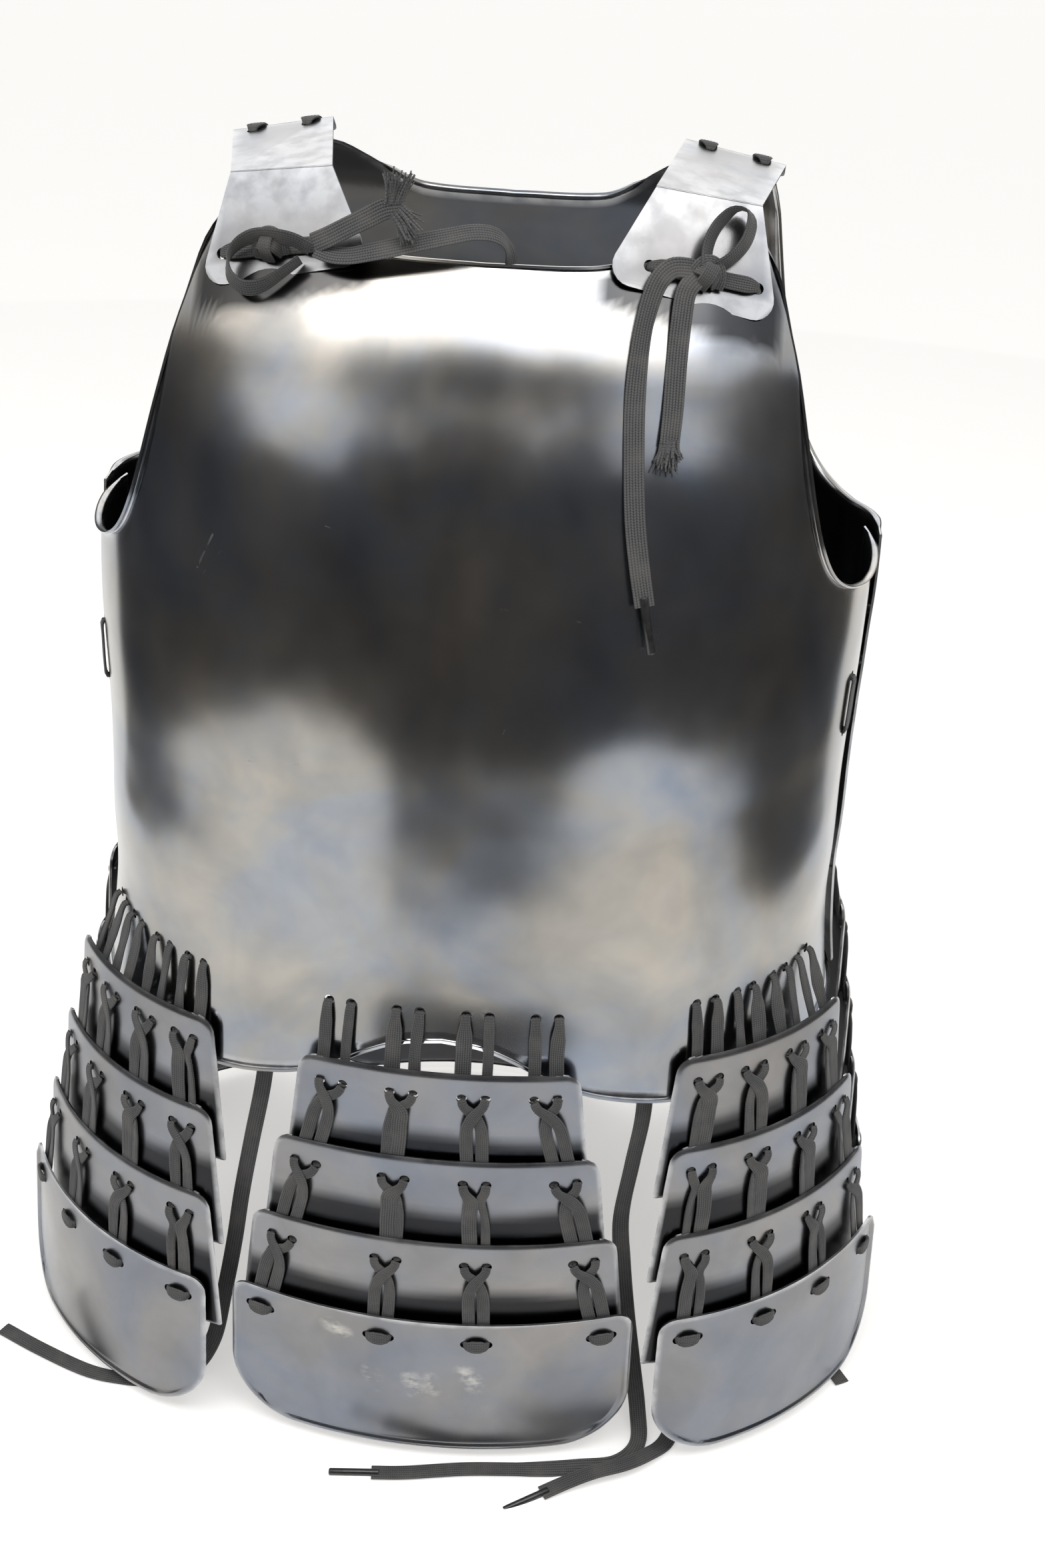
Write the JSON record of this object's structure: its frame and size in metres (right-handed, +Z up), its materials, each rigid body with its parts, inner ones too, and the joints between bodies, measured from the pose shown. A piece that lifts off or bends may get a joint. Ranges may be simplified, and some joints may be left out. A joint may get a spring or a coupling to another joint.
{
  "type": "samurai body armour",
  "caption": "Steel cuirass of a breastplate and a backplate, with laced shoulder plates and a hanging skirt of overlapping curved steel plates tied with flat laces.",
  "frame": {"origin": "on the upright axis of the wearer's trunk, level with the row of lace holes at the waist", "axes": "+Z up, -Y the front of the armour, +X the wearer's left"},
  "size_m": [0.497, 0.3632, 0.6527],
  "materials": {
    "cuirass_steel": "blued, hammer-smoothed and polished steel with bright worn edges",
    "shoulder_steel": "satin blued steel with bright worn edges",
    "skirt_steel": "satin blued steel with bright worn edges",
    "lace": "dull black flat woven lace with ribs along it"
  },
  "bodies": {
    "cuirass": {"breastplate": "cuirass_steel", "backplate": "cuirass_steel", "side_tie_left": "lace", "side_tie_right": "lace", "tails_left": "lace", "tails_right": "lace"},
    "shoulder_left": {"shoulder_plate_left": "shoulder_steel", "crest_laces_left": "lace", "shoulder_tie_left": "lace"},
    "shoulder_right": {"shoulder_plate_right": "shoulder_steel", "crest_laces_right": "lace", "shoulder_tie_right": "lace"},
    "hanging_front_1": {"plate_front_1": "skirt_steel", "laces_front_1": "lace"},
    "hanging_front_2": {"plate_front_2": "skirt_steel", "laces_front_2": "lace"},
    "hanging_front_3": {"plate_front_3": "skirt_steel", "laces_front_3": "lace"},
    "hanging_front_4": {"plate_front_4": "skirt_steel", "laces_front_4": "lace"},
    "hanging_front_left_1": {"plate_front_left_1": "skirt_steel", "laces_front_left_1": "lace"},
    "hanging_front_left_2": {"plate_front_left_2": "skirt_steel", "laces_front_left_2": "lace"},
    "hanging_front_left_3": {"plate_front_left_3": "skirt_steel", "laces_front_left_3": "lace"},
    "hanging_front_left_4": {"plate_front_left_4": "skirt_steel", "laces_front_left_4": "lace"},
    "hanging_front_right_1": {"plate_front_right_1": "skirt_steel", "laces_front_right_1": "lace"},
    "hanging_front_right_2": {"plate_front_right_2": "skirt_steel", "laces_front_right_2": "lace"},
    "hanging_front_right_3": {"plate_front_right_3": "skirt_steel", "laces_front_right_3": "lace"},
    "hanging_front_right_4": {"plate_front_right_4": "skirt_steel", "laces_front_right_4": "lace"},
    "hanging_back_1": {"plate_back_1": "skirt_steel", "laces_back_1": "lace"},
    "hanging_back_2": {"plate_back_2": "skirt_steel", "laces_back_2": "lace"},
    "hanging_back_3": {"plate_back_3": "skirt_steel", "laces_back_3": "lace"},
    "hanging_back_4": {"plate_back_4": "skirt_steel", "laces_back_4": "lace"},
    "hanging_back_left_1": {"plate_back_left_1": "skirt_steel", "laces_back_left_1": "lace"},
    "hanging_back_left_2": {"plate_back_left_2": "skirt_steel", "laces_back_left_2": "lace"},
    "hanging_back_left_3": {"plate_back_left_3": "skirt_steel", "laces_back_left_3": "lace"},
    "hanging_back_left_4": {"plate_back_left_4": "skirt_steel", "laces_back_left_4": "lace"},
    "hanging_back_right_1": {"plate_back_right_1": "skirt_steel", "laces_back_right_1": "lace"},
    "hanging_back_right_2": {"plate_back_right_2": "skirt_steel", "laces_back_right_2": "lace"},
    "hanging_back_right_3": {"plate_back_right_3": "skirt_steel", "laces_back_right_3": "lace"},
    "hanging_back_right_4": {"plate_back_right_4": "skirt_steel", "laces_back_right_4": "lace"}
  },
  "joints": [
    {"name": "shoulder_left_lift", "type": "hinge", "parent": "cuirass", "child": "shoulder_left", "pos_m": [0.10374, 0.02997, 0.36084], "axis": [-0.9838, 0.0212, 0.178], "range_deg": [0, 60], "deforming": ["crest_laces_left"]},
    {"name": "shoulder_right_lift", "type": "hinge", "parent": "cuirass", "child": "shoulder_right", "pos_m": [-0.10374, 0.02997, 0.36084], "axis": [-0.9838, -0.0212, -0.178], "range_deg": [0, 60], "deforming": ["crest_laces_right"]},
    {"name": "front_1_swing", "type": "hinge", "parent": "cuirass", "child": "hanging_front_1", "pos_m": [0, -0.16038, 0], "axis": [-1, 0, 0], "range_deg": [0, 45], "deforming": ["laces_front_1"]},
    {"name": "front_2_swing", "type": "hinge", "parent": "hanging_front_1", "child": "hanging_front_2", "pos_m": [0, -0.17434, -0.038], "axis": [-1, 0, 0], "range_deg": [0, 20], "deforming": ["laces_front_2"]},
    {"name": "front_3_swing", "type": "hinge", "parent": "hanging_front_2", "child": "hanging_front_3", "pos_m": [0, -0.17529, -0.088], "axis": [-1, 0, 0], "range_deg": [0, 20], "deforming": ["laces_front_3"]},
    {"name": "front_4_swing", "type": "hinge", "parent": "hanging_front_3", "child": "hanging_front_4", "pos_m": [0, -0.17549, -0.138], "axis": [-1, 0, 0], "range_deg": [0, 20], "deforming": ["laces_front_4"]},
    {"name": "front_left_1_swing", "type": "hinge", "parent": "cuirass", "child": "hanging_front_left_1", "pos_m": [0.15119, -0.10878, 0], "axis": [-0.766, -0.6428, 0], "range_deg": [0, 45], "deforming": ["laces_front_left_1"]},
    {"name": "front_left_2_swing", "type": "hinge", "parent": "hanging_front_left_1", "child": "hanging_front_left_2", "pos_m": [0.16217, -0.12015, -0.038], "axis": [-0.766, -0.6428, 0], "range_deg": [0, 20], "deforming": ["laces_front_left_2"]},
    {"name": "front_left_3_swing", "type": "hinge", "parent": "hanging_front_left_2", "child": "hanging_front_left_3", "pos_m": [0.16959, -0.12277, -0.088], "axis": [-0.766, -0.6428, 0], "range_deg": [0, 20], "deforming": ["laces_front_left_3"]},
    {"name": "front_left_4_swing", "type": "hinge", "parent": "hanging_front_left_3", "child": "hanging_front_left_4", "pos_m": [0.17691, -0.12527, -0.138], "axis": [-0.766, -0.6428, 0], "range_deg": [0, 20], "deforming": ["laces_front_left_4"]},
    {"name": "front_right_1_swing", "type": "hinge", "parent": "cuirass", "child": "hanging_front_right_1", "pos_m": [-0.15119, -0.10878, 0], "axis": [-0.766, 0.6428, 0], "range_deg": [0, 45], "deforming": ["laces_front_right_1"]},
    {"name": "front_right_2_swing", "type": "hinge", "parent": "hanging_front_right_1", "child": "hanging_front_right_2", "pos_m": [-0.16217, -0.12015, -0.038], "axis": [-0.766, 0.6428, 0], "range_deg": [0, 20], "deforming": ["laces_front_right_2"]},
    {"name": "front_right_3_swing", "type": "hinge", "parent": "hanging_front_right_2", "child": "hanging_front_right_3", "pos_m": [-0.16959, -0.12277, -0.088], "axis": [-0.766, 0.6428, 0], "range_deg": [0, 20], "deforming": ["laces_front_right_3"]},
    {"name": "front_right_4_swing", "type": "hinge", "parent": "hanging_front_right_3", "child": "hanging_front_right_4", "pos_m": [-0.17691, -0.12527, -0.138], "axis": [-0.766, 0.6428, 0], "range_deg": [0, 20], "deforming": ["laces_front_right_4"]},
    {"name": "back_1_swing", "type": "hinge", "parent": "cuirass", "child": "hanging_back_1", "pos_m": [0, 0.11096, 0], "axis": [1, 0, 0], "range_deg": [0, 45], "deforming": ["laces_back_1"]},
    {"name": "back_2_swing", "type": "hinge", "parent": "hanging_back_1", "child": "hanging_back_2", "pos_m": [0, 0.1236, -0.038], "axis": [1, 0, 0], "range_deg": [0, 20], "deforming": ["laces_back_2"]},
    {"name": "back_3_swing", "type": "hinge", "parent": "hanging_back_2", "child": "hanging_back_3", "pos_m": [0, 0.12739, -0.088], "axis": [1, 0, 0], "range_deg": [0, 20], "deforming": ["laces_back_3"]},
    {"name": "back_4_swing", "type": "hinge", "parent": "hanging_back_3", "child": "hanging_back_4", "pos_m": [0, 0.13025, -0.138], "axis": [1, 0, 0], "range_deg": [0, 20], "deforming": ["laces_back_4"]},
    {"name": "back_left_1_swing", "type": "hinge", "parent": "cuirass", "child": "hanging_back_left_1", "pos_m": [0.16808, 0.05119, 0], "axis": [0.6157, -0.788, 0], "range_deg": [0, 45], "deforming": ["laces_back_left_1"]},
    {"name": "back_left_2_swing", "type": "hinge", "parent": "hanging_back_left_1", "child": "hanging_back_left_2", "pos_m": [0.17723, 0.05979, -0.038], "axis": [0.6157, -0.788, 0], "range_deg": [0, 20], "deforming": ["laces_back_left_2"]},
    {"name": "back_left_3_swing", "type": "hinge", "parent": "hanging_back_left_2", "child": "hanging_back_left_3", "pos_m": [0.18175, 0.06332, -0.088], "axis": [0.6157, -0.788, 0], "range_deg": [0, 20], "deforming": ["laces_back_left_3"]},
    {"name": "back_left_4_swing", "type": "hinge", "parent": "hanging_back_left_3", "child": "hanging_back_left_4", "pos_m": [0.18623, 0.06682, -0.138], "axis": [0.6157, -0.788, 0], "range_deg": [0, 20], "deforming": ["laces_back_left_4"]},
    {"name": "back_right_1_swing", "type": "hinge", "parent": "cuirass", "child": "hanging_back_right_1", "pos_m": [-0.16808, 0.05119, 0], "axis": [0.6157, 0.788, 0], "range_deg": [0, 45], "deforming": ["laces_back_right_1"]},
    {"name": "back_right_2_swing", "type": "hinge", "parent": "hanging_back_right_1", "child": "hanging_back_right_2", "pos_m": [-0.17723, 0.05979, -0.038], "axis": [0.6157, 0.788, 0], "range_deg": [0, 20], "deforming": ["laces_back_right_2"]},
    {"name": "back_right_3_swing", "type": "hinge", "parent": "hanging_back_right_2", "child": "hanging_back_right_3", "pos_m": [-0.18175, 0.06332, -0.088], "axis": [0.6157, 0.788, 0], "range_deg": [0, 20], "deforming": ["laces_back_right_3"]},
    {"name": "back_right_4_swing", "type": "hinge", "parent": "hanging_back_right_3", "child": "hanging_back_right_4", "pos_m": [-0.18623, 0.06682, -0.138], "axis": [0.6157, 0.788, 0], "range_deg": [0, 20], "deforming": ["laces_back_right_4"]}
  ]
}
